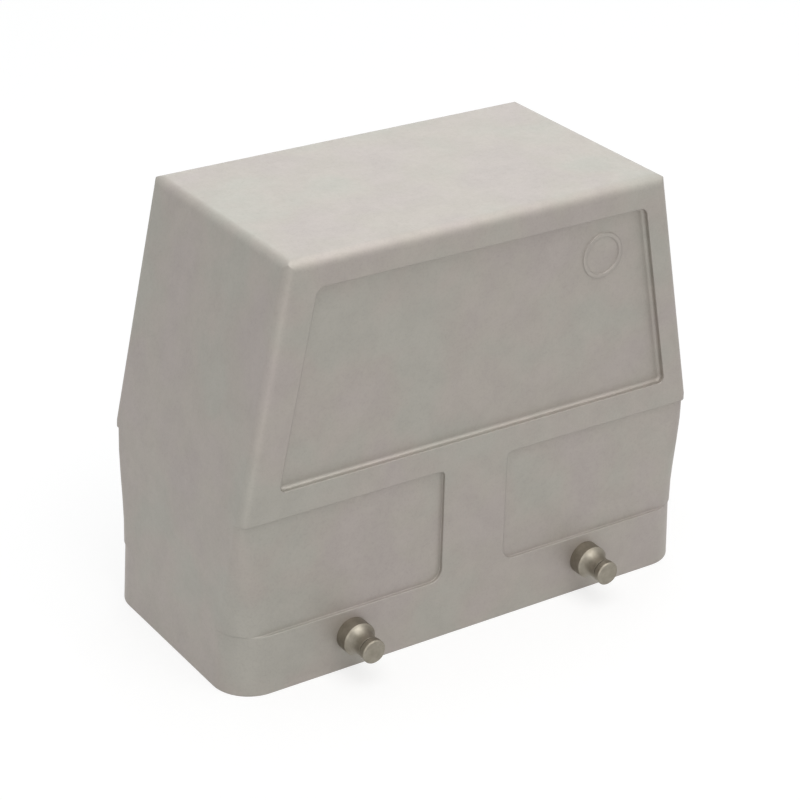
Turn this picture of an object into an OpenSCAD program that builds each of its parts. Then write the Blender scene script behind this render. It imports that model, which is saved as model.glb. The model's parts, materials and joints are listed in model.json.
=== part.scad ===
// Heavy duty rectangular connector: a die-cast hood with a threaded side cable entry,
// four turned locking pegs, and the 16-pole male contact insert that is screwed into it.
// The hood stands on its rim at z = 0 with the contact pins pointing down. The long side
// runs along X and the cable entry opens towards +X. Sizes are in millimetres.

/* [Hood] */
// Length of the hood at its rim
hood_l = 93; // [92.6:0.2:100]
// Width of the hood, the same from rim to roof
hood_w = 43; // [42.2:0.2:47]
// Height from the rim to the roof
hood_h = 75.3; // [72:0.1:90]
// Corner radius of the skirt, seen from below
skirt_r = 6.8; // [5.8:0.2:8]
// Height of the shoulders, where the end walls start to lean inwards
shoulder_z = 33; // [31:0.5:36]
// Length of the hood over its shoulders
shoulder_l = 89.8; // [89.2:0.2:92]
// Length of the roof, measured to its sharp corners
roof_l = 72.8; // [68:0.4:80]
// Radius of the roof edges and of the leaning corners
edge_r = 1.8; // [1:0.1:2.4]
// Thickness of the walls and roof above the shoulders
wall = 3.8; // [3.5:0.1:4.2]
// Thickness of the skirt
rim_wall = 3.6; // [3.2:0.1:3.8]
// Height of the skirt's straight-sided mouth
mouth_z = 31; // [24:0.5:34]
// Radius of the upright corners inside the hood
cavity_r = 2.5; // [1:0.5:4]

/* [Panels] */
// Distance from the leaning corner at the plain end to the crown panel
crown_inset = 6.2; // [4:0.1:8]
// The same distance at the end with the cable entry
crown_entry_inset = 4.9; // [4:0.1:8]
// Lower edge of the crown panel
crown_z = 36.6; // [35:0.1:38]
// Distance from the crown panel's upper edge to the roof
crown_drop = 5; // [4:0.2:8]
// Depth of the crown panel
crown_depth = 1.2; // [0.4:0.1:1.5]
// Radius of the hollow between the crown panel's floor and its walls
crown_fillet = 0.6; // [0.3:0.1:1]
// Radius of the crown panel's upper corners
crown_r = 1.5; // [1:0.1:3]
// Width of the plain band between the two flank panels
band_w = 12.6; // [8:0.2:20]
// Lower edge of the flank panels
flank_z = 11; // [10:0.1:13]
// Distance from the flank panels' upper edge to the shoulders
flank_drop = 1.1; // [0.5:0.1:3]
// Depth of the flank panels
flank_depth = 0.6; // [0.3:0.1:1]
// Corner radius of the flank panels where they leave the skirt
flank_r0 = 5.4; // [4:0.2:6]
// Corner radius of the flank panels under the shoulders
flank_r1 = 1.8; // [1.2:0.1:2.4]

/* [Mark] */
// Distance of the plain moulded ring from the hood's middle
ring_x = 24.7; // [10:0.1:25]
// Height of the plain moulded ring
ring_z = 63.1; // [55:0.1:64]
// Radius of the plain moulded ring
ring_r = 4; // [2:0.1:4.4]
// Height that the moulded ring stands out
ring_t = 0.2; // [0.1:0.05:0.5]

/* [Locking pegs] */
// Distance between the two pegs on one side
peg_span = 48; // [44:1:52]
// Height of the peg axes above the rim
peg_z = 6.4; // [6:0.1:7]
// Radius of the peg's shank in the wall
peg_shank_r = 2.5; // [2:0.1:2.8]
// Radius of the peg's collar
peg_collar_r = 3; // [2.9:0.1:3.6]
// Thickness of the peg's collar
peg_collar_t = 2.6; // [1.5:0.1:3]
// Radius of the peg's neck
peg_neck_r = 2; // [1.6:0.05:2.1]
// Radius of the peg's end button
peg_button_r = 2.15; // [2.1:0.05:2.4]
// Thickness of the peg's end button
peg_button_t = 1.2; // [0.8:0.1:1.6]
// Width of the groove behind the end button
peg_groove_w = 0.3; // [0.2:0.05:0.5]
// Depth of that groove below the neck
peg_groove_d = 0.3; // [0.1:0.05:0.5]
// Length of the peg outside the wall
peg_l = 6.9; // [6.4:0.1:8]

/* [Cable entry] */
// Radius of the cable entry, to the root of its M25 thread
entry_r = 12.5; // [10:0.5:13]
// Height of the cable entry's axis
entry_z = 50; // [49:0.5:53]
// Width of the sealing face around the cable entry
entry_land = 3; // [2:0.2:3.4]
// Distance from the hood's middle to the sealing face
entry_x = 44; // [43:0.5:45]
// Length of the threaded bore
entry_l = 9; // [8:0.5:9.5]

/* [Insert] */
// Number of contacts in each of the two rows
row_count = 8; // [8:1:8]
// Distance between neighbouring contacts
pitch = 6.5; // [6.3:0.05:6.6]
// Distance between the two contact rows
row_gap = 14; // [13.6:0.2:14.4]
// Clearance between the insert and the skirt's long walls
side_gap = 0.9; // [0.6:0.1:1.4]
// Clearance between the insert's earth plates and the skirt's end walls
end_gap = 0.65; // [0.4:0.05:1]
// Distance from the insert's edges to its fixing screws
fix_in = 3.5; // [3.25:0.25:4]
// Distance from the fixing screws to the insert's body, along the insert
fix_room = 5.75; // [5.25:0.25:6.25]
// Distance from the rim to the shroud's edge
shroud_z = 1.5; // [0.5:0.25:3]
// Wall thickness of the shroud around the pins
shroud_wall = 1.8; // [1.4:0.1:2.2]
// Distance from the rim to the earth plates
plate_z = 16; // [15.5:0.25:17]
// Thickness of the earth plates
plate_t = 1.5; // [1.2:0.1:1.8]
// Radius of the contact pins
pin_r = 1.25; // [1:0.05:1.5]
// Length of a contact pin in the shroud's well
pin_l = 10; // [8:0.2:11]
// Width of a terminal block along the row
block_w = 5.2; // [5:0.1:5.3]
// Width of a terminal block across the row
block_d = 6.4; // [6:0.1:6.6]
// Height of a terminal block
block_h = 9; // [8.5:0.1:9.6]
// Radius of the wire holes
wire_r = 1.9; // [1.5:0.1:2]
// Height of the insert's cover
cover_h = 6.5; // [5:0.5:8]

/* [Screws] */
// Radius of the M4 fixing and earth screws
m4_r = 2; // [1.8:0.1:2.1]
// Radius of the M3 terminal screws
m3_r = 1.5; // [1.3:0.1:1.6]
// Clearance between pieces that fit together
gap = 0.1; // [0.05:0.01:0.14]
// Clearance between a pressed or screwed piece and its hole
press_gap = 0.02; // [0.01:0.01:0.03]

/* [Hidden] */
$fn = 64;
far = 200; // longer than any cut through the part
skin = 1; // how far a cutter starts outside its wall
thin = 0.01; // slab that a blend is hulled from
flank_steps = 5; // straight stretches of the blend at the flank corners
blend_fn = 96; // facets of the blended corners

// locking pegs
peg_chamfer = 0.25; // at the collar's front edge
peg_edge = 0.2; // chamfer of the end button
peg_back = 0.2; // how far the shank stays short of the wall's inner face

// hood
lean = atan((shoulder_l - roof_l) / 2 / (hood_h - shoulder_z)); // end walls, from upright
front_y = -hood_w / 2;
flank_top = shoulder_z - flank_drop;
flank_w = hood_w - 2 * flank_depth;
band_foot_r = 2.3; // where the plain band runs out into the skirt
band_head_r = 1; // where it runs out into the shoulders
crown_foot_r = 1; // lower corners of the crown panel
mouth_l = hood_l - 2 * rim_wall;
mouth_w = hood_w - 2 * rim_wall;
mouth_r = skirt_r - rim_wall + 0.3;
room_w = hood_w - 2 * wall; // inside, above the mouth
room_top = hood_h - wall;
room_l = shoulder_l - 2 * wall / cos(lean);
room_top_l = room_l - 2 * (room_top - shoulder_z) * tan(lean);
ring_w = 0.7;

// insert, outwards in
insert_l = mouth_l - 2 * end_gap; // over the earth plates
insert_w = mouth_w - 2 * side_gap;
fix_x = insert_l - 2 * fix_in; // between the fixing screws
fix_y = insert_w - 2 * fix_in;
body_l = fix_x - 2 * fix_room;
ledge = 2; // flange beside the upper body, and that beside the cover
upper_w = insert_w - 2 * ledge;
cover_w = upper_w - 2 * ledge;
shroud_end = 1.5; // from the body's end to the shroud
shroud_l = body_l - 2 * shroud_end;
shroud_side = 5.75; // from a contact row to the shroud's outer face
shroud_w = row_gap + 2 * shroud_side;
shroud_r = 3;
row_y = row_gap / 2;
post_r = 4;

// insert, from the rim upwards
base_t = 4; // body's base below the earth plates
floor_t = 1; // floor of the well that the pins stand in
seat_gap = 0.5; // from the posts' feet to the terminal blocks
screw_up = 4; // from the terminal blocks' undersides to their screws
leaf_t = 0.3; // wire leaves, hooked over the terminal blocks
base_z = plate_z - base_t;
well_z = base_z + floor_t;
seat_z = plate_z + plate_t; // feet of the posts that take the fixing screws
block_z = seat_z + seat_gap; // underside of the terminal blocks
screw_z = block_z + screw_up; // axes of the terminal screws
body_z = block_z + block_h + leaf_t + gap; // top of the body
cover_z = body_z + cover_h;

stem_r = 1.8; // contact's thicker stem inside the base
stem_in = 1.5; // plastic below a contact's stem
wire_depth = 7;
wire_in = 0.5; // wire hole's offset from the block's middle, away from the screw
leaf_w = 2.4;
leaf_l = 5.5;
leaf_y = 1.4; // from the wire hole's axis to the leaf's outer face
lip_l = 1.2;
m3_head_r = 2.4;
m3_head_h = 1.6;
m3_clear = 0.4; // head's distance from its block
window_r = 2.8;
slot_w = 0.8;
slot_d = 0.8;
m4_head_r = 3.5;
m4_head_h = 2.2;
washer_t = 0.8;
washer_r = 3.6;
washer_slit = 0.5;
fix_grip = 8.5; // thread engaged in a post
tip_drop = 1; // room above a fixing screw's tip
earth_out = 4.1; // from the body's end to the earth screws
earth_x = body_l / 2 + earth_out;
earth_w = 7.4; // square clamp washer
earth_t = 1.2;
earth_tip = 3.5; // thread below the earth plate
tongue = 2; // how far an earth plate reaches into the body
tongue_w = 22;
blade_w = 9;
blade_t = 1.2;
blade_x = body_l / 2 + 1;
blade_up = 2.5; // from the shroud's edge to the earth blades
blade_z = shroud_z + blade_up;
nose_r = 0.5; // rounding of a pin's tip
clip_r = 1.5; // pins that locate the cover
clip_l = 3;
clip_in = 3.5; // from the body's ends to those pins
clip_x = body_l / 2 - clip_in;
funnel_r = 2.9;
funnel_h = 2.2;
cover_edge = 1.5;
cover_r = 2; // corners of the cover

// Length of the hood at height z of its steep lower end walls
function skirt_len(z) = hood_l + (shoulder_l - hood_l) * z / shoulder_z;

// Half length of the hood at height z of its leaning upper end walls
function crown_x(z) = shoulder_l / 2 - (z - shoulder_z) * tan(lean);

// Smooth step from 0 to 1
function smooth(t) = t * t * (3 - 2 * t);

// X position of contact i in its row
function contact_x(i) = (i - (row_count - 1) / 2) * pitch;

// ---- helpers ----

module mirror_copy(v) {
    children();
    mirror(v) children();
}

module at_corners(l, w) {
    for (x = [-l / 2, l / 2], y = [-w / 2, w / 2])
        translate([x, y, 0]) children();
}

// Rectangle with round corners, centred on the origin
module rounded_rect(l, w, r) {
    square([l - 2 * r, w], center = true);
    square([l, w - 2 * r], center = true);
    at_corners(l - 2 * r, w - 2 * r) circle(r);
}

// Upright block with round upright edges, from z0 to z1
module rounded_block(l, w, r, z0, z1) {
    translate([0, 0, z0]) linear_extrude(z1 - z0) rounded_rect(l, w, r);
}

// Cylinder along Y from y0 to y1
module rod_y(r, y0, y1) {
    translate([0, y0, 0]) rotate([-90, 0, 0]) cylinder(r = r, h = y1 - y0);
}

// Cylinder along X from x0 to x1
module rod_x(r, x0, x1) {
    translate([x0, 0, 0]) rotate([0, 90, 0]) cylinder(r = r, h = x1 - x0);
}

// Outline drawn in X and Z, extruded along Y from y0 to y1
module plate_y(y0, y1) {
    translate([0, y1, 0]) rotate([90, 0, 0]) linear_extrude(y1 - y0) children();
}

// Prism that leans inwards by angle a from l0 / 2 at height z0, with two round edges
module leaning_side(l0, w, r, z0, a) {
    translate([l0 / 2, 0, z0]) rotate([0, -a, 0])
        translate([0, 0, -far / 2]) linear_extrude(far) {
            translate([-far, -w / 2]) square([far - r, w]);
            translate([-far, r - w / 2]) square([far, w - 2 * r]);
            for (y = [r - w / 2, w / 2 - r]) translate([-r, y]) circle(r);
        }
}

// Block from z0 to z1 whose end walls lean inwards, so that its length falls from l0 to l1
module leaning_block(l0, l1, w, r, z0, z1) {
    a = atan((l0 - l1) / 2 / (z1 - z0));
    intersection() {
        translate([0, 0, (z0 + z1) / 2]) cube([far, w, z1 - z0], center = true);
        leaning_side(l0, w, r, z0, a);
        mirror([1, 0, 0]) leaning_side(l0, w, r, z0, a);
    }
}

// Leaning block with its top edges rounded by r too
module domed_block(l0, l1, w, r, z0, z1) {
    a = atan((l0 - l1) / 2 / (z1 - z0));
    cz = z1 - r; // middle of the top edges' rounding
    cx = l0 / 2 - (cz - z0) * tan(a) - r / cos(a);
    intersection() {
        leaning_block(l0, l1, w, r, z0, z1);
        // round the top edges at the ends
        plate_y(-w, w) mirror_copy([1, 0]) {
            polygon([[0, z0], [l0 / 2, z0], [cx + r * cos(a), cz + r * sin(a)], [cx, z1], [0, z1]]);
            translate([cx, cz]) circle(r);
        }
        // round the top edges at the front and rear
        rotate([0, 0, 90]) plate_y(-l0, l0) {
            translate([-w / 2, z0]) square([w, cz - z0]);
            translate([r - w / 2, z0]) square([w - 2 * r, z1 - z0]);
            for (y = [r - w / 2, w / 2 - r]) translate([y, cz]) circle(r);
        }
    }
}

// ---- hood ----

// Fillet between two square edges that meet at the origin, filling the first quadrant
module corner_fillet(r) {
    difference() {
        square(r);
        translate([r, r]) circle(r);
    }
}

// The corners of the flank zone, whose radius falls smoothly towards the shoulders
module flank_zone() {
    for (i = [0:flank_steps - 1])
        hull() for (t = [i / flank_steps, (i + 1) / flank_steps]) {
            z = flank_z + (flank_top - flank_z) * t;
            rounded_block(skirt_len(z), flank_w, flank_r0 + (flank_r1 - flank_r0) * smooth(t),
                          z - thin / 2, z + thin / 2, $fn = blend_fn);
        }
}

// The plain band that stays proud between two flank panels, front and rear
module plain_band() {
    h = flank_top - flank_z;
    plate_y(-hood_w / 2, hood_w / 2)
        mirror_copy([1, 0]) {
            translate([0, flank_z]) square([band_w / 2, h]);
            translate([band_w / 2, flank_z]) corner_fillet(band_foot_r);
            translate([band_w / 2, flank_top]) mirror([0, 1]) corner_fillet(band_head_r);
        }
}

// Cutter for one corner of the crown panel, rounded by r and rolled over towards the floor
module panel_corner(x, z, r) {
    roll = [for (a = [0:15:90])
        [r - crown_fillet * (1 - cos(a)), crown_depth - crown_fillet * (1 - sin(a))]];
    translate([x, front_y, z]) rotate([-90, 0, 0]) rotate_extrude($fn = 32)
        polygon(concat([[0, -skin], [r, -skin]], roll, [[0, crown_depth]]));
}

// Sunk panel on one side of the crown, its sides parallel to the leaning corners
module crown_panel() {
    foot_z = crown_z + crown_foot_r;
    head_z = hood_h - crown_drop - crown_r;
    foot_x = crown_x(foot_z) - crown_foot_r / cos(lean);
    head_x = crown_x(head_z) - crown_r / cos(lean);
    hull() for (end = [[-1, crown_inset], [1, crown_entry_inset]]) {
        panel_corner(end[0] * (foot_x - end[1]), foot_z, crown_foot_r);
        panel_corner(end[0] * (head_x - end[1]), head_z, crown_r);
    }
}

// Plain ring moulded on the floor of the crown panel
module moulded_ring() {
    translate([ring_x, front_y + crown_depth - ring_t, ring_z]) rotate([-90, 0, 0])
        difference() {
            cylinder(r = ring_r, h = ring_t + skin);
            translate([0, 0, -skin]) cylinder(r = ring_r - ring_w, h = ring_t + 3 * skin);
        }
}

// Four posts inside the hood, run into both walls, that take the fixing screws
module posts() {
    for (sx = [0, 1], sy = [0, 1]) mirror([sx, 0, 0]) mirror([0, sy, 0])
        translate([fix_x / 2, fix_y / 2, seat_z]) {
            cylinder(r = post_r, h = far);
            translate([-post_r, 0, 0]) cube([far, far, far]);
            translate([0, -post_r, 0]) cube([far, far, far]);
        }
}

module cavity() {
    difference() {
        union() {
            rounded_block(mouth_l, mouth_w, mouth_r, -skin, mouth_z);
            domed_block(room_l + 2 * (shoulder_z - mouth_z + skin) * tan(lean), room_top_l,
                        room_w, cavity_r, mouth_z - skin, room_top);
        }
        posts();
        translate([0, 0, entry_z]) rod_x(entry_r + entry_land, entry_x - entry_l, far);
    }
}

module hood_casting() {
    leaning_block(hood_l, skirt_len(flank_z), hood_w, skirt_r, 0, flank_z);
    flank_zone();
    plain_band();
    leaning_block(skirt_len(flank_top), shoulder_l, hood_w, edge_r, flank_top, shoulder_z);
    domed_block(shoulder_l, roof_l, hood_w, edge_r, shoulder_z, hood_h);
    translate([0, 0, entry_z])
        rod_x(entry_r + entry_land, entry_x - entry_l, entry_x);
}

module hood() {
    color("#a39d95") {
        difference() {
            hood_casting();
            cavity();
            mirror_copy([0, 1, 0]) crown_panel();
            // cable entry, with its sealing face
            translate([0, 0, entry_z]) {
                rod_x(entry_r, entry_x - entry_l - far / 8, far);
                rod_x(entry_r + entry_land, entry_x, far);
            }
            // seats of the locking pegs
            for (x = [-peg_span / 2, peg_span / 2]) translate([x, 0, peg_z])
                rod_y(peg_shank_r + press_gap, -hood_w, hood_w);
            // threaded holes of the fixing screws
            at_corners(fix_x, fix_y) translate([0, 0, seat_z - skin])
                cylinder(r = m4_r + press_gap, h = skin + fix_grip + tip_drop);
        }
        mirror_copy([0, 1, 0]) moulded_ring();
    }
}

// ---- locking pegs ----

// Half outline of a peg, outwards along Y: shank, collar, flared neck, groove and button
module peg_outline() {
    neck_top = peg_l - peg_button_t;
    flare_h = (neck_top - peg_collar_t) * 0.7;
    flare_r = peg_collar_r - peg_chamfer;
    // the flare is an arc through the collar's edge that runs out along the neck
    dr = flare_r - peg_neck_r;
    arc_r = (dr * dr + flare_h * flare_h) / (2 * dr);
    difference() {
        union() {
            translate([0, peg_back - rim_wall]) square([peg_shank_r, rim_wall]);
            square([peg_collar_r, peg_collar_t - peg_chamfer]);
            polygon([[0, 0], [peg_collar_r, peg_collar_t - peg_chamfer], [flare_r, peg_collar_t],
                     [0, peg_collar_t]]);
            square([peg_neck_r, neck_top]);
            difference() {
                translate([0, peg_collar_t - thin]) square([flare_r, flare_h]);
                translate([peg_neck_r + arc_r, peg_collar_t + flare_h]) circle(arc_r, $fn = 128);
            }
            translate([0, neck_top]) square([peg_button_r, peg_button_t - peg_edge]);
            polygon([[0, neck_top], [peg_button_r, peg_l - peg_edge],
                     [peg_button_r - peg_edge, peg_l], [0, peg_l]]);
        }
        translate([peg_neck_r - peg_groove_d, neck_top - peg_groove_w])
            square([far, peg_groove_w]);
    }
}

// Peg on the front side at x
module locking_peg(x) {
    color("#8a8273") translate([x, front_y, peg_z]) rotate([90, 0, 0])
        rotate_extrude() peg_outline();
}

// ---- insert ----

// Every contact's place, turned so that its screw side faces -Y
module at_contacts() {
    for (i = [0:row_count - 1], side = [0, 1])
        translate([contact_x(i), 0, 0]) mirror([0, side, 0])
            translate([0, -row_y, 0]) children();
}

module insert_body() {
    color("#b9bab6") difference() {
        union() {
            rounded_block(shroud_l, shroud_w, shroud_r, shroud_z, base_z + skin);
            translate([-body_l / 2, -insert_w / 2, base_z])
                cube([body_l, insert_w, seat_z - base_z]);
            translate([-body_l / 2, -upper_w / 2, base_z])
                cube([body_l, upper_w, body_z - base_z]);
        }
        // well around the pins
        rounded_block(shroud_l - 2 * shroud_wall, shroud_w - 2 * shroud_wall,
                      shroud_r - shroud_wall, shroud_z - skin, well_z);
        at_contacts() {
            // tube of the stem, chamber of the terminal block and screwdriver window
            translate([0, 0, well_z - skin]) cylinder(r = pin_r + gap, h = block_z - well_z);
            translate([0, 0, well_z + stem_in - gap]) cylinder(r = stem_r + gap, h = block_z - well_z);
            translate([-block_w / 2 - gap, -block_d / 2 - gap, block_z])
                cube([block_w + 2 * gap, block_d + 2 * gap, body_z]);
            translate([0, 0, screw_z]) rod_y(window_r, -upper_w, 0);
        }
        // slots of the earth plates
        mirror_copy([1, 0, 0]) translate([body_l / 2 - tongue - gap, 0, plate_z - gap])
            translate([0, -tongue_w / 2 - gap, 0])
                cube([far, tongue_w + 2 * gap, plate_t + 2 * gap]);
        // holes of the cover's pins
        mirror_copy([1, 0, 0]) translate([clip_x, 0, body_z - clip_l - gap])
            cylinder(r = clip_r + gap, h = far);
    }
}

module insert_cover() {
    color("#c9cac6") difference() {
        union() {
            rounded_block(body_l - 2 * cover_edge, cover_w, cover_r, body_z, cover_z);
            mirror_copy([1, 0, 0]) translate([clip_x, 0, body_z - clip_l])
                cylinder(r = clip_r, h = clip_l + skin);
        }
        at_contacts() translate([0, wire_in, 0]) {
            translate([0, 0, body_z - skin]) cylinder(r = wire_r + gap, h = far);
            translate([0, 0, cover_z - funnel_h])
                cylinder(r1 = wire_r + gap, r2 = funnel_r, h = funnel_h + thin);
        }
    }
}

// Contact i of the row on one side: pin, stem and terminal block in one piece
module contact(side, i) {
    color("#c9c2a8") translate([contact_x(i), 0, 0]) mirror([0, side, 0])
        translate([0, -row_y, 0]) difference() {
            union() {
                pin_tip = well_z - pin_l;
                translate([0, 0, pin_tip]) rotate_extrude() pin_outline();
                translate([0, 0, well_z + stem_in]) cylinder(r = stem_r, h = block_z - well_z);
                translate([-block_w / 2, -block_d / 2, block_z]) cube([block_w, block_d, block_h]);
            }
            // wire hole and the screw's thread
            translate([0, wire_in, block_z + block_h - wire_depth]) cylinder(r = wire_r, h = far);
            translate([0, 0, screw_z]) rod_y(m3_r + press_gap, -block_d, wire_in);
        }
}

// Half outline of a pin with a rounded tip
module pin_outline() {
    translate([0, nose_r]) square([pin_r, pin_l + stem_in]);
    square([pin_r - nose_r, pin_l]);
    translate([pin_r - nose_r, nose_r]) circle(nose_r);
}

module terminal_screws() {
    tip = wire_in - leaf_y - gap; // just short of the leaf
    head = -block_d / 2 - m3_clear; // underside of the head
    color("#b8b8b2") at_contacts() translate([0, 0, screw_z]) difference() {
        union() {
            rod_y(m3_r, head - thin, tip);
            rod_y(m3_head_r, head - m3_head_h, head);
        }
        translate([-m3_head_r - skin, head - m3_head_h - skin, -slot_w / 2])
            cube([2 * (m3_head_r + skin), slot_d + skin, slot_w]);
    }
}

// Leaves that keep the terminal screws off the wires, each hooked over its block
module wire_leaves() {
    top = block_z + block_h;
    color("#d0cfc8") at_contacts() translate([-leaf_w / 2, wire_in - leaf_y, 0]) {
        translate([0, 0, top - leaf_l]) cube([leaf_w, leaf_t, leaf_l + leaf_t]);
        translate([0, -lip_l, top]) cube([leaf_w, lip_l + leaf_t, leaf_t]);
    }
}

// Earth plate at the insert's left end
module earth_plate() {
    x0 = -insert_l / 2;
    x1 = -body_l / 2 - gap;
    color("#bdbcb4") difference() {
        union() {
            translate([x0, -insert_w / 2, plate_z]) cube([x1 - x0, insert_w, plate_t]);
            translate([x0 + skin, -tongue_w / 2, plate_z])
                cube([x1 - x0 - skin + tongue, tongue_w, plate_t]);
            translate([-blade_x - blade_t, -blade_w / 2, blade_z])
                cube([blade_t, blade_w, plate_z + plate_t - blade_z]);
            translate([-earth_x, 0, plate_z - earth_tip / 2])
                cylinder(r = m4_r + 1.2, h = earth_tip / 2 + plate_t);
        }
        for (y = [-fix_y / 2, fix_y / 2]) translate([-fix_x / 2, y, plate_z - skin])
            cylinder(r = m4_r + gap, h = plate_t + 2 * skin);
        translate([-earth_x, 0, plate_z - earth_tip])
            cylinder(r = m4_r + press_gap, h = far);
    }
}

module earth_plate_left() earth_plate();
module earth_plate_right() mirror([1, 0, 0]) earth_plate();

// Slotted pan head on a shank, its head's underside at z = 0 and its thread downwards
module slotted_screw(r, l, head_r, head_h) {
    difference() {
        union() {
            translate([0, 0, -l]) cylinder(r = r, h = l + thin);
            cylinder(r = head_r, h = head_h);
        }
        translate([-head_r - skin, -slot_w / 2, head_h - slot_d])
            cube([2 * (head_r + skin), slot_w, slot_d + skin]);
    }
}

module earth_screws() {
    color("#b0b0aa") mirror_copy([1, 0, 0]) translate([-earth_x, 0, seat_z + earth_t])
        slotted_screw(m4_r, earth_t + plate_t + earth_tip, m4_head_r, m4_head_h);
}

module earth_washers() {
    color("#c4c3bb") mirror_copy([1, 0, 0]) translate([-earth_x, 0, seat_z])
        difference() {
            translate([-earth_w / 2, -earth_w / 2, 0]) cube([earth_w, earth_w, earth_t]);
            translate([0, 0, -skin]) cylinder(r = m4_r + gap, h = earth_t + 2 * skin);
        }
}

module fixing_screws() {
    color("#b8b8b2") at_corners(fix_x, fix_y) translate([0, 0, plate_z - washer_t])
        rotate([180, 0, 0])
            slotted_screw(m4_r, washer_t + plate_t + fix_grip, m4_head_r, m4_head_h);
}

module lock_washers() {
    color("#8f9092") at_corners(fix_x, fix_y) translate([0, 0, plate_z - washer_t])
        difference() {
            cylinder(r = washer_r, h = washer_t);
            translate([0, 0, -skin]) cylinder(r = m4_r + gap, h = washer_t + 2 * skin);
            translate([0, -washer_slit / 2, -skin]) cube([far, washer_slit, washer_t + 2 * skin]);
        }
}

hood();
locking_peg(-peg_span / 2);  // locking_peg_front_left
locking_peg(peg_span / 2);  // locking_peg_front_right
mirror([0, 1, 0]) locking_peg(-peg_span / 2);  // locking_peg_rear_left
mirror([0, 1, 0]) locking_peg(peg_span / 2);  // locking_peg_rear_right
insert_body();
insert_cover();
contact(0, 0);  // contact_pin_01
contact(0, 1);  // contact_pin_02
contact(0, 2);  // contact_pin_03
contact(0, 3);  // contact_pin_04
contact(0, 4);  // contact_pin_05
contact(0, 5);  // contact_pin_06
contact(0, 6);  // contact_pin_07
contact(0, 7);  // contact_pin_08
contact(1, 0);  // contact_pin_09
contact(1, 1);  // contact_pin_10
contact(1, 2);  // contact_pin_11
contact(1, 3);  // contact_pin_12
contact(1, 4);  // contact_pin_13
contact(1, 5);  // contact_pin_14
contact(1, 6);  // contact_pin_15
contact(1, 7);  // contact_pin_16
terminal_screws();
wire_leaves();
earth_plate_left();
earth_plate_right();
earth_screws();
earth_washers();
fixing_screws();
lock_washers();
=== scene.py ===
import json
import math

import bmesh
import bpy
import numpy as np
from mathutils import Matrix, Vector


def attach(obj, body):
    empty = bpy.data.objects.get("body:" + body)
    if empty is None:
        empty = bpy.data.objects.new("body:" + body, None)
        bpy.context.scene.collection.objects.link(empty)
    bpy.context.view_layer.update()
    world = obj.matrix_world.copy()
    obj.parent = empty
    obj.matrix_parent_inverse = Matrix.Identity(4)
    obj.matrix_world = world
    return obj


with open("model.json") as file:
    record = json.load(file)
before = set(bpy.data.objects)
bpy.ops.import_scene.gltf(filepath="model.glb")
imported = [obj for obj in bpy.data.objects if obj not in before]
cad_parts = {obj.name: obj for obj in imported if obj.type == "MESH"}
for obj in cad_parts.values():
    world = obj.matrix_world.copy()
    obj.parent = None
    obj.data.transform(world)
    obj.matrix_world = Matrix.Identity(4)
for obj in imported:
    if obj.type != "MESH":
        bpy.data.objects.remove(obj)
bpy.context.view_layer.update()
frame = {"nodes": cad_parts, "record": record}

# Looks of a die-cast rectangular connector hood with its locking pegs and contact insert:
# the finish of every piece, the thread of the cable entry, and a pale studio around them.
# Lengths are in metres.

MM = 0.001

# ---- camera ----

AIM = Vector((-0.00109, 0.0, 0.03425))
DISTANCE = 0.41815
AZIMUTH = math.radians(34.09)
ELEVATION = math.radians(26.68)
ROLL = math.radians(1.459)
LENS = 110.0
SENSOR = 36.0


def add_camera():
    """Camera on a sphere round AIM.

    Azimuth 0 looks along +Y and grows towards +X, and the roll turns the camera about its own axis.
    """
    flat = math.cos(ELEVATION)
    forward = Vector((flat * math.sin(AZIMUTH), flat * math.cos(AZIMUTH), -math.sin(ELEVATION)))
    right = forward.cross(Vector((0, 0, 1))).normalized()
    up = right.cross(forward)
    rolled_right = right * math.cos(ROLL) + up * math.sin(ROLL)
    rolled_up = up * math.cos(ROLL) - right * math.sin(ROLL)
    turn = Matrix((rolled_right, rolled_up, -forward)).transposed().to_4x4()
    data = bpy.data.cameras.new("camera")
    data.lens = LENS
    data.sensor_width = SENSOR
    data.clip_start = 0.01
    data.clip_end = 20.0
    camera = bpy.data.objects.new("camera", data)
    camera.matrix_world = Matrix.Translation(AIM - forward * DISTANCE) @ turn
    bpy.context.scene.collection.objects.link(camera)
    bpy.context.scene.camera = camera


# ---- materials ----

CASTING_EDGE = 0.35 * MM  # radius that the looks give to the casting's sharp edges
PEG_EDGE = 0.15 * MM
PALE_EDGE_START = 0.03  # one minus the cosine of the normal's turn, where the paler edge starts: partly wear, partly painted highlight
PALE_EDGE_FULL = 0.30  # the same where it is complete
PALE_EDGE_MOST = 0.6  # share of the paler edge colour, partly wear and partly painted highlight, at a fully rounded edge


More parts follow.
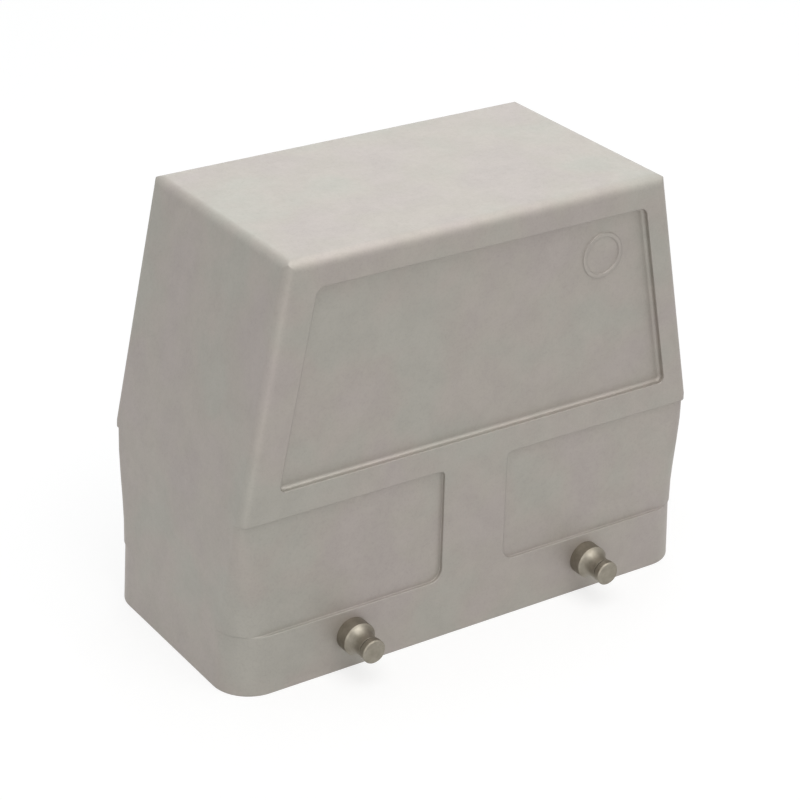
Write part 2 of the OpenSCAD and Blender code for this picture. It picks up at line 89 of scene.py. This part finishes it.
class Nodes:
    """A material's node tree, with short calls that add a node and join it up."""

    def __init__(self, name):
        self.material = bpy.data.materials.new(name)
        self.material.use_nodes = True
        self.tree = self.material.node_tree
        self.tree.nodes.clear()
        self.output = self.add("ShaderNodeOutputMaterial")
        self.place = self.add("ShaderNodeTexCoord").outputs["Object"]

    def add(self, kind, inputs=(), **settings):
        """Adds a node. inputs gives a value or an output socket for each named input."""
        node = self.tree.nodes.new(kind)
        for key, value in settings.items():
            setattr(node, key, value)
        for key, value in dict(inputs).items():
            if isinstance(value, bpy.types.NodeSocket):
                self.tree.links.new(value, node.inputs[key])
            else:
                node.inputs[key].default_value = value
        return node

    def noise(self, scale, detail, rough=0.5):
        """Noise between 0 and 1 with scale in cells per metre."""
        values = {"Vector": self.place, "Scale": scale, "Detail": detail, "Roughness": rough}
        return self.add("ShaderNodeTexNoise", values).outputs["Fac"]

    def ramp(self, factor, *stops):
        """Colour ramp through (position, colour) stops. A single number is a grey."""
        node = self.add("ShaderNodeValToRGB", {"Fac": factor})
        line = node.color_ramp.elements
        while len(line) < len(stops):
            line.new(0.5)
        for element, (position, colour) in zip(line, stops):
            element.position = position
            grey = (colour, colour, colour) if isinstance(colour, float) else colour
            element.color = (*grey, 1.0)
        return node.outputs["Color"]

    def mix(self, factor, a, b, blend="MIX"):
        """Mixes two colours."""
        node = self.add("ShaderNodeMix", data_type="RGBA", blend_type=blend, clamp_result=True)
        for index, value in ((0, factor), (6, a), (7, b)):
            if isinstance(value, bpy.types.NodeSocket):
                self.tree.links.new(value, node.inputs[index])
            else:
                node.inputs[index].default_value = value if index == 0 else (*value, 1.0)
        return node.outputs[2]

    def calculate(self, operation, a, b):
        """Result of a sum on two numbers or sockets."""
        return self.add("ShaderNodeMath", {0: a, 1: b}, operation=operation).outputs[0]

    def bump(self, height, distance, strength, normal=None):
        """Normal of a surface raised by height times distance, in metres."""
        values = {"Height": height, "Distance": distance, "Strength": strength}
        if normal:
            values["Normal"] = normal
        return self.add("ShaderNodeBump", values).outputs["Normal"]

    def soft_edges(self, radius):
        """Normal of the surface with every sharp edge rounded over to radius."""
        return self.add("ShaderNodeBevel", {"Radius": radius}, samples=6).outputs[0]

    def worn_and_highlit_edges(self, soft):
        """Paler edges, partly wear and partly a painted highlight: 0 on flat ground, and the most where
        the rounded normal has turned far.
        """
        flat = self.add("ShaderNodeNewGeometry").outputs["Normal"]
        match = self.add("ShaderNodeVectorMath", {0: soft, 1: flat}, operation="DOT_PRODUCT")
        values = {
            "Value": self.calculate("SUBTRACT", 1.0, match.outputs["Value"]),
            "From Min": PALE_EDGE_START,
            "From Max": PALE_EDGE_FULL,
            "To Min": 0.0,
            "To Max": PALE_EDGE_MOST,
        }
        return self.add("ShaderNodeMapRange", values, clamp=True).outputs[0]

    def shade(self, **inputs):
        """Ends the tree in a principled shader. An underscore in a name stands for a space."""
        names = {key.replace("_", " "): value for key, value in inputs.items()}
        shader = self.add("ShaderNodeBsdfPrincipled", names)
        self.tree.links.new(shader.outputs[0], self.output.inputs["Surface"])
        return self.material


def cast_alloy():
    """Blasted die-cast alloy: a fine grain, faint tints of pink and green, and paler edges that are
    partly wear and partly a painted highlight.
    """
    n = Nodes("cast_alloy")
    greenish, plain, pinkish = (0.428, 0.411, 0.372), (0.440, 0.406, 0.370), (0.438, 0.398, 0.374)
    clouds = n.ramp(n.noise(75.0, 2.0), (0.36, greenish), (0.5, plain), (0.64, pinkish))
    patches = n.ramp(n.noise(190.0, 1.0), (0.40, 0.965), (0.60, 1.0))
    tint = n.mix(1.0, clouds, patches, "MULTIPLY")
    grain = n.noise(2600.0, 2.0, 0.6)
    speckle = n.ramp(grain, (0.30, 0.94), (0.5, 0.99), (0.70, 1.0))
    colour = n.mix(1.0, tint, speckle, "MULTIPLY")
    soft = n.soft_edges(CASTING_EDGE)
    # paler colour along the rounded edges: partly wear, partly a painted highlight where the fillets
    # catch light
    colour = n.mix(n.worn_and_highlit_edges(soft), colour, (0.46, 0.43, 0.40))
    rough = n.ramp(n.noise(900.0, 2.0), (0.30, 0.51), (0.70, 0.59))
    normal = n.bump(grain, 0.04 * MM, 0.45, soft)
    normal = n.bump(n.noise(420.0, 3.0), 0.06 * MM, 0.25, normal)
    return n.shade(Base_Color=colour, Metallic=0.6, Roughness=rough, Normal=normal)


def peg_steel():
    """Turned and nickel-plated steel, coloured darker than nickel as painted shade for the dim
    reflections it shows: dull, with a fine grain and small changes of tint and sheen.
    """
    n = Nodes("peg_steel")
    # dark brownish colour: painted shade, darker than real nickel, standing in for the dim surroundings
    # the pegs reflect
    colour = n.ramp(n.noise(700.0, 3.0, 0.6), (0.3, (0.245, 0.222, 0.180)), (0.7, (0.315, 0.290, 0.242)))
    rough = n.ramp(n.noise(2500.0, 3.0, 0.6), (0.3, 0.40), (0.7, 0.50))
    normal = n.bump(n.noise(9000.0, 1.0), 0.01 * MM, 0.4, n.soft_edges(PEG_EDGE))
    return n.shade(Base_Color=colour, Metallic=1.0, Roughness=rough, Normal=normal)


def moulded(name, dark, pale, rough):
    """Moulded plastic: an even colour with faint clouds, a fine grain and a soft sheen."""
    n = Nodes(name)
    colour = n.ramp(n.noise(260.0, 3.0), (0.3, dark), (0.7, pale))
    sheen = n.ramp(n.noise(1500.0, 2.0), (0.3, rough - 0.06), (0.7, rough + 0.06))
    normal = n.bump(n.noise(4000.0, 2.0), 0.02 * MM, 0.4)
    return n.shade(Base_Color=colour, Roughness=sheen, Normal=normal)


def bright_metal(name, dark, pale, rough):
    """Plated metal: two close tints in clouds, with a finer grain in the sheen and the surface."""
    n = Nodes(name)
    colour = n.ramp(n.noise(500.0, 3.0, 0.6), (0.3, dark), (0.7, pale))
    sheen = n.ramp(n.noise(3000.0, 3.0, 0.6), (0.3, rough - 0.07), (0.7, rough + 0.07))
    normal = n.bump(n.noise(6000.0, 2.0), 0.01 * MM, 0.4)
    return n.shade(Base_Color=colour, Metallic=1.0, Roughness=sheen, Normal=normal)


def make_materials():
    """One material for each of the record's material slots."""
    return {
        "cast_alloy": cast_alloy(),
        "peg_steel": peg_steel(),
        "insert_plastic": moulded("insert_plastic", (0.44, 0.45, 0.43), (0.50, 0.51, 0.49), 0.45),
        "cover_plastic": moulded("cover_plastic", (0.52, 0.53, 0.51), (0.58, 0.59, 0.57), 0.42),
        "contact_metal": bright_metal("contact_metal", (0.72, 0.69, 0.60), (0.80, 0.78, 0.70), 0.24),
        "plated_steel": bright_metal("plated_steel", (0.52, 0.53, 0.54), (0.62, 0.62, 0.60), 0.32),
        "spring_steel": bright_metal("spring_steel", (0.32, 0.32, 0.33), (0.44, 0.44, 0.44), 0.28),
    }


def dress_nodes(materials):
    """Gives every CAD node the material of its slot in the record."""
    for subpart in frame["record"]["subparts"]:
        node = frame["nodes"][subpart["node"]]
        for slot in node.material_slots:
            slot.material = materials[subpart["material_slot"]]


# ---- thread of the cable entry ----

THREAD_PITCH = 1.5 * MM
THREAD_ROOT_R = 12.52 * MM  # just behind the bore's surface
THREAD_CREST_R = 11.70 * MM
THREAD_START = 35.6 * MM
THREAD_END = 43.3 * MM
THREAD_FOOT = 0.48 * THREAD_PITCH  # half the ridge's width at its root
THREAD_FLAT = 0.09 * THREAD_PITCH  # half the ridge's width at its crest
THREAD_TIP = 0.02  # share of the section that is left at the ridge's ends
ENTRY_Z = 50.0 * MM  # height of the bore's axis
STEPS_PER_TURN = 96


def entry_thread(material):
    """Thread ridge: a trapezium carried along a helix whose axis is parallel to X.

    At angle a the section's middle is at x = start + pitch * a / one turn. The crest sinks
    to the root over the first and the last half turn, so that the ridge runs out into the bore.
    """
    turns = (THREAD_END - THREAD_START) / THREAD_PITCH
    a = np.linspace(0.0, 2 * np.pi * turns, int(turns * STEPS_PER_TURN) + 1)
    run_out = np.clip(np.minimum(a, a[-1] - a) / np.pi, THREAD_TIP, 1.0)
    root = np.full_like(a, THREAD_ROOT_R)
    crest = THREAD_ROOT_R - (THREAD_ROOT_R - THREAD_CREST_R) * run_out
    along = np.array([-THREAD_FOOT, -THREAD_FLAT, THREAD_FLAT, THREAD_FOOT])
    radius = np.stack([root, crest, crest, root], axis=1)
    x = THREAD_START + THREAD_PITCH * a[:, None] / (2 * np.pi) + along[None, :] * run_out[:, None]
    y = radius * np.cos(a)[:, None]
    z = ENTRY_Z + radius * np.sin(a)[:, None]
    points = np.stack([x, y, z], axis=2).reshape(-1, 3)
    size = len(along)
    ring, side = np.meshgrid(np.arange(len(a) - 1), np.arange(size), indexing="ij")
    here, beside = ring * size + side, ring * size + (side + 1) % size
    walls = np.stack([here, beside, beside + size, here + size], axis=2).reshape(-1, 4)
    caps = [list(range(size))[::-1], [len(points) - size + k for k in range(size)]]
    mesh = bpy.data.meshes.new("entry_thread")
    mesh.from_pydata(points.tolist(), [], walls.tolist() + caps)
    shape = bmesh.new()
    shape.from_mesh(mesh)
    bmesh.ops.recalc_face_normals(shape, faces=shape.faces)
    shape.to_mesh(mesh)
    shape.free()
    mesh.materials.append(material)
    piece = bpy.data.objects.new("entry_thread", mesh)
    bpy.context.scene.collection.objects.link(piece)
    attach(piece, "root")


# ---- studio ----

FLOOR_SIZE = 6.0
FILL = 0.10  # light of the world on the object
BACKDROP = 1.0  # light of the world that the camera and a mirror see
GLOW = 0.76  # floor's own white, as the camera and a mirror see it
SHADOW = 0.30  # floor's diffuse white, which a shadow takes away
LAMP_TARGET = Vector((0, 0, 0.035))  # middle of the object
SOFTBOXES = (  # name, place, width, watts, colour
    ("top_softbox", (0.0, -0.05, 1.1), 1.2, 9.6, (0.98, 0.995, 1.0)),
    ("high_front_softbox", (0.1, -0.75, 0.9), 0.9, 2.7, (1.0, 0.955, 0.90)),
    ("corner_softbox", (-0.6, -0.8, 0.2), 0.3, 0.9, (1.0, 0.97, 0.93)),
    ("back_softbox", (0.62, 0.92, 0.56), 0.9, 2.4, (0.92, 0.98, 1.0)),
)


def camera_or_bounce(n, seen, hidden):
    """Mix of two shaders.

    Rays from the camera, a mirror or through glass meet the first, and all other rays the second.
    """
    path = n.add("ShaderNodeLightPath")
    seen_by = n.calculate("MAXIMUM", path.outputs["Is Camera Ray"], path.outputs["Is Glossy Ray"])
    seen_by = n.calculate("MAXIMUM", seen_by, path.outputs["Is Transmission Ray"])
    return n.add("ShaderNodeMixShader", {0: seen_by, 1: hidden, 2: seen}).outputs[0]


def add_floor():
    """Pale floor, white where it is lit, that keeps a soft shadow and is clear from below."""
    n = Nodes("studio_floor")
    cloud = n.ramp(n.noise(3.0, 2.0), (0.3, 0.80), (0.7, 0.82))
    lit = n.add("ShaderNodeBsdfDiffuse", {"Color": cloud}).outputs[0]
    shaded = n.add("ShaderNodeBsdfDiffuse", {"Color": (SHADOW, SHADOW, SHADOW, 1)}).outputs[0]
    glow = n.add("ShaderNodeEmission", {"Color": (1, 1, 1, 1), "Strength": GLOW}).outputs[0]
    both = n.add("ShaderNodeAddShader", {0: shaded, 1: glow}).outputs[0]
    clear = n.add("ShaderNodeBsdfTransparent").outputs[0]
    below = n.add("ShaderNodeNewGeometry").outputs["Backfacing"]
    above = camera_or_bounce(n, both, lit)
    surface = n.add("ShaderNodeMixShader", {0: below, 1: above, 2: clear}).outputs[0]
    n.tree.links.new(surface, n.output.inputs["Surface"])
    half = FLOOR_SIZE / 2
    corners = [(-half, -half, 0), (half, -half, 0), (half, half, 0), (-half, half, 0)]
    mesh = bpy.data.meshes.new("studio_floor")
    mesh.from_pydata(corners, [], [(0, 1, 2, 3)])
    mesh.materials.append(n.material)
    floor = bpy.data.objects.new("studio_floor", mesh)
    bpy.context.scene.collection.objects.link(floor)


def add_world():
    """White to the camera, in a mirror and through glass, and a faint pale grey for all other light."""
    world = bpy.data.worlds.new("studio")
    world.use_nodes = True
    tree = world.node_tree
    tree.nodes.clear()
    path = tree.nodes.new("ShaderNodeLightPath")
    seen_by = path.outputs["Is Camera Ray"]
    for ray in ("Is Glossy Ray", "Is Transmission Ray"):
        either = tree.nodes.new("ShaderNodeMath")
        either.operation = "MAXIMUM"
        tree.links.new(seen_by, either.inputs[0])
        tree.links.new(path.outputs[ray], either.inputs[1])
        seen_by = either.outputs[0]
    mix = tree.nodes.new("ShaderNodeMixShader")
    tree.links.new(seen_by, mix.inputs[0])
    for socket, strength in ((1, FILL), (2, BACKDROP)):
        back = tree.nodes.new("ShaderNodeBackground")
        back.inputs["Color"].default_value = (1, 1, 1, 1)
        back.inputs["Strength"].default_value = strength
        tree.links.new(back.outputs[0], mix.inputs[socket])
    output = tree.nodes.new("ShaderNodeOutputWorld")
    tree.links.new(mix.outputs[0], output.inputs["Surface"])
    bpy.context.scene.world = world


def add_softbox(name, place, width, watts, colour):
    """Square area lamp at place, turned towards the object's middle."""
    data = bpy.data.lights.new(name, "AREA")
    data.shape = "SQUARE"
    data.size = width
    data.energy = watts
    data.color = colour
    lamp = bpy.data.objects.new(name, data)
    turn = (LAMP_TARGET - Vector(place)).to_track_quat("-Z", "Y").to_matrix().to_4x4()
    lamp.matrix_world = Matrix.Translation(place) @ turn
    bpy.context.scene.collection.objects.link(lamp)


add_camera()
materials = make_materials()
dress_nodes(materials)
entry_thread(materials["cast_alloy"])
add_floor()
add_world()
for softbox in SOFTBOXES:
    add_softbox(*softbox)
bpy.context.scene.view_settings.view_transform = "Standard"
